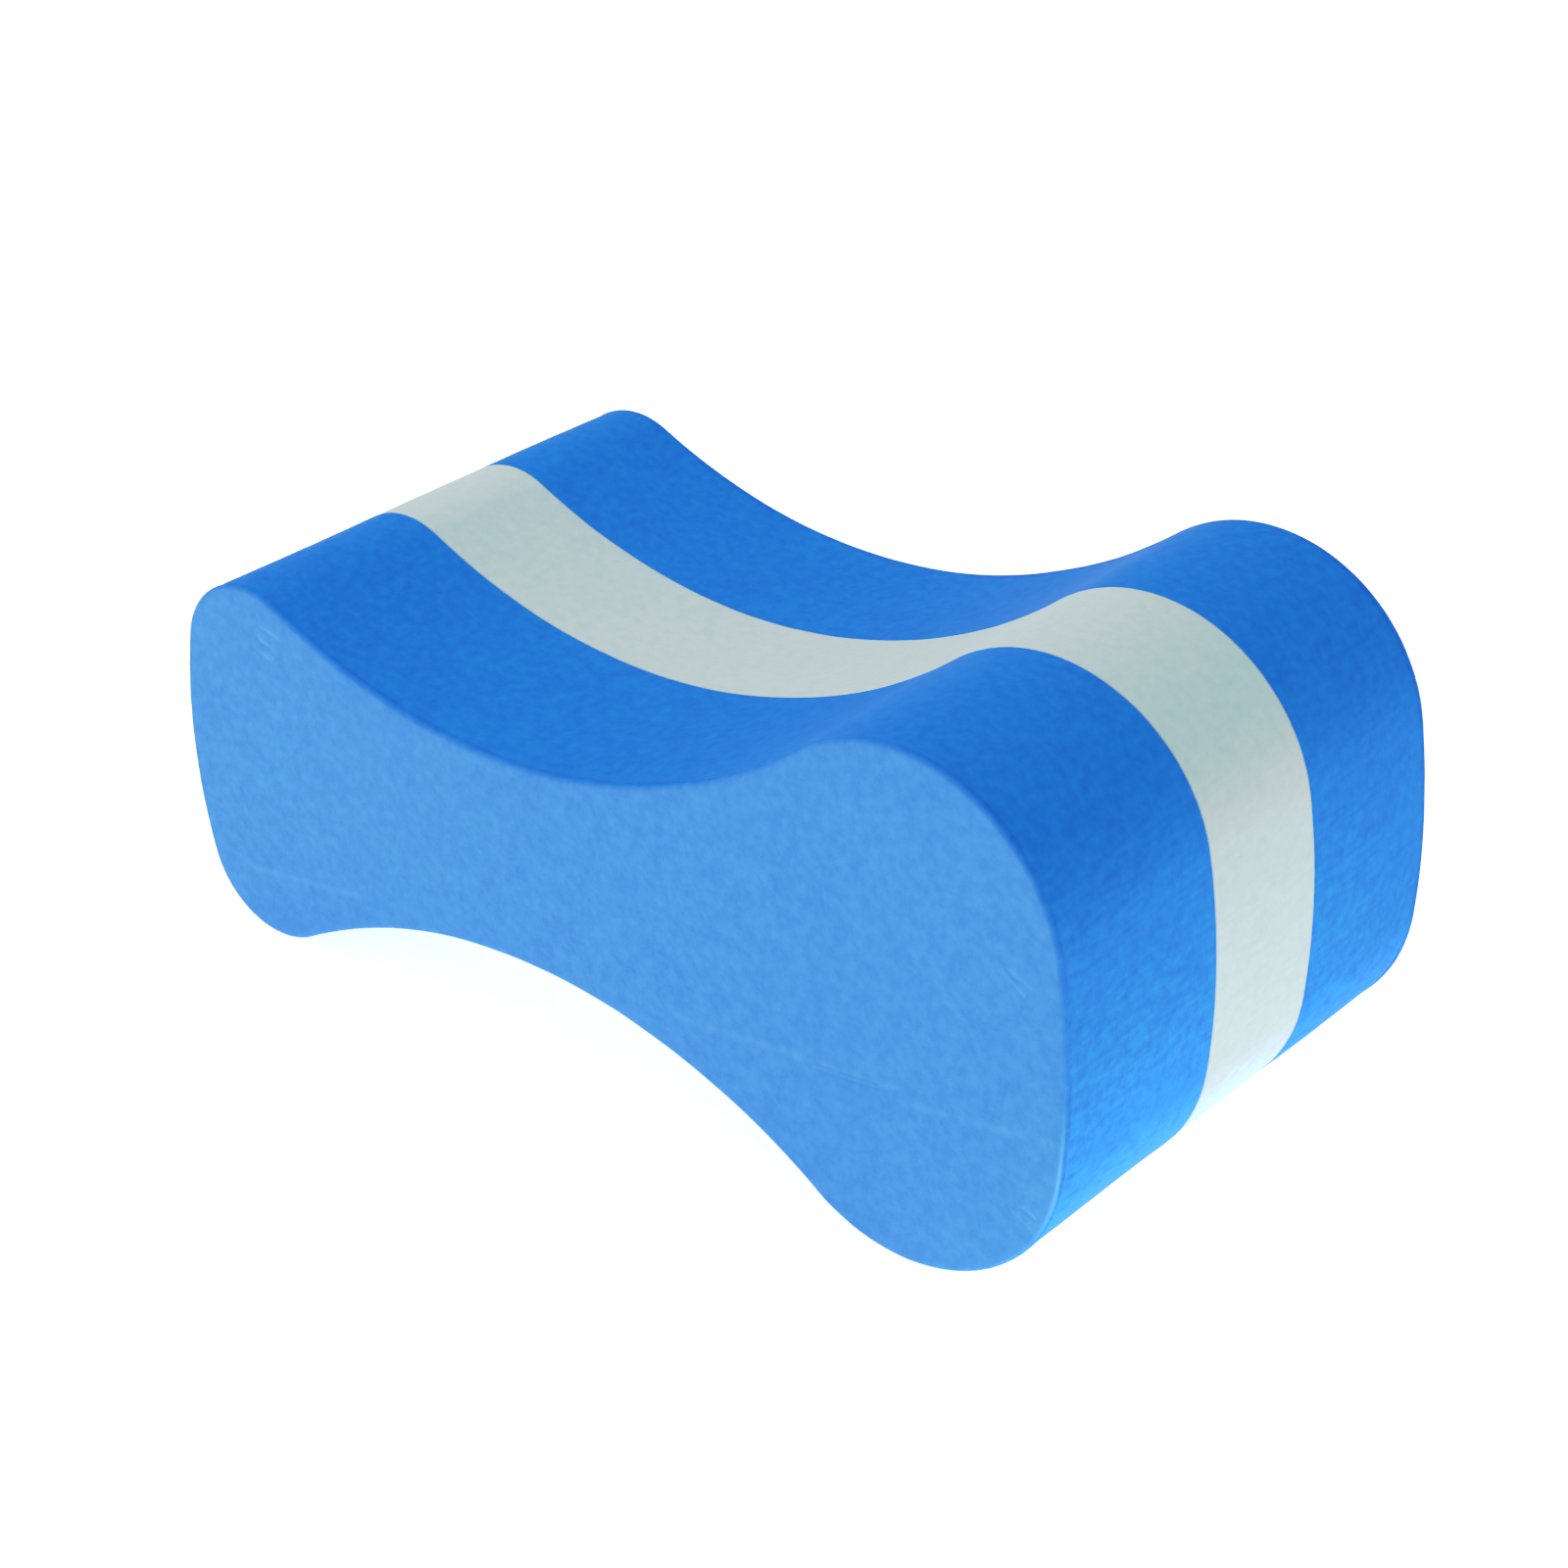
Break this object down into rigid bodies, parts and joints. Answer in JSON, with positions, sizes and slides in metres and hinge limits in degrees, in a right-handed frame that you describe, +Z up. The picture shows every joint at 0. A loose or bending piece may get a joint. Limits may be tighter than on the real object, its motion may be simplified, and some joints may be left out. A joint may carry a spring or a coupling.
{
  "type": "pull buoy",
  "caption": "Hourglass-shaped swimming float of laminated blue and white foam, with a small lobe, a big lobe and curved leg saddles between them.",
  "frame": {"origin": "on the surface that both lobes lie on, under the middle of the bounding box", "axes": "+X along the float towards the big lobe, +Y across the sheets from the front one to the rear one, +Z up"},
  "size_m": [0.2302, 0.1216, 0.1084],
  "materials": {
    "blue_foam": "matte closed-cell foam, fine grain, faint ripples on the cut surfaces",
    "white_foam": "matte closed-cell foam, fine grain, faint ripples on the cut surfaces",
    "bond_adhesive": "thin cured contact adhesive, satin"
  },
  "bodies": {
    "root": {"front_blue_slab": "blue_foam", "centre_white_slab": "white_foam", "rear_blue_slab": "blue_foam", "front_bond_film": "bond_adhesive", "rear_bond_film": "bond_adhesive"}
  },
  "joints": []
}
